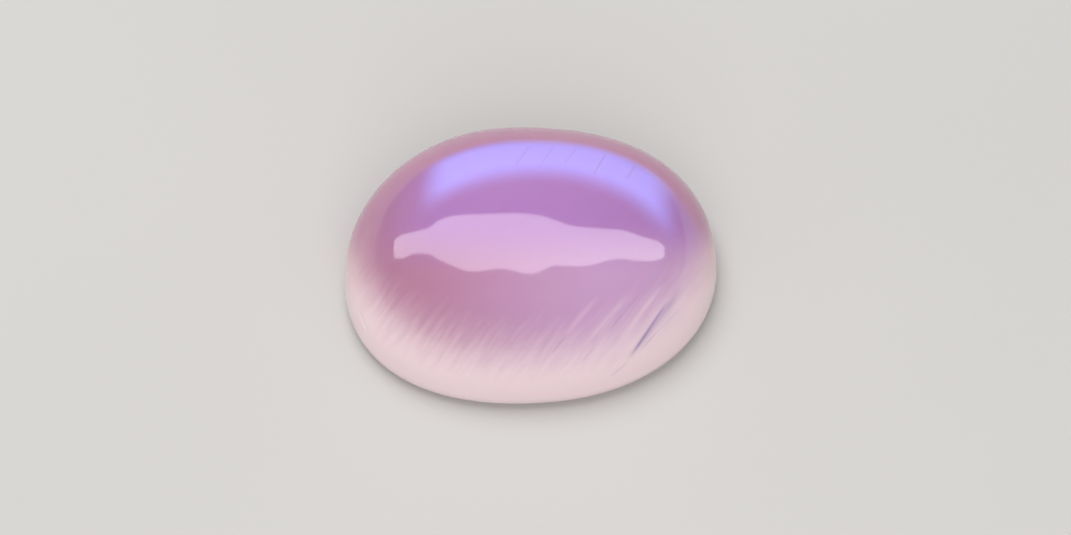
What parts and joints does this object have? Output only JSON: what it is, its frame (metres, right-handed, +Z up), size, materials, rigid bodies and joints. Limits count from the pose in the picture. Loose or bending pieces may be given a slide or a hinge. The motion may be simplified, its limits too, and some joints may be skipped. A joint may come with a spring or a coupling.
{
  "type": "moonstone cabochon",
  "caption": "Polished oval moonstone cabochon with a domed top, soft girdle and flat base, milky lavender with a blue sheen.",
  "frame": {"origin": "centre of the flat base", "axes": "+Z up through the dome's crown, +X along the oval's length towards its blunter end, +Y across it"},
  "size_m": [0.01, 0.008, 0.0042],
  "materials": {
    "moonstone": "gloss"
  },
  "bodies": {
    "root": {"moonstone": "moonstone"}
  },
  "joints": []
}
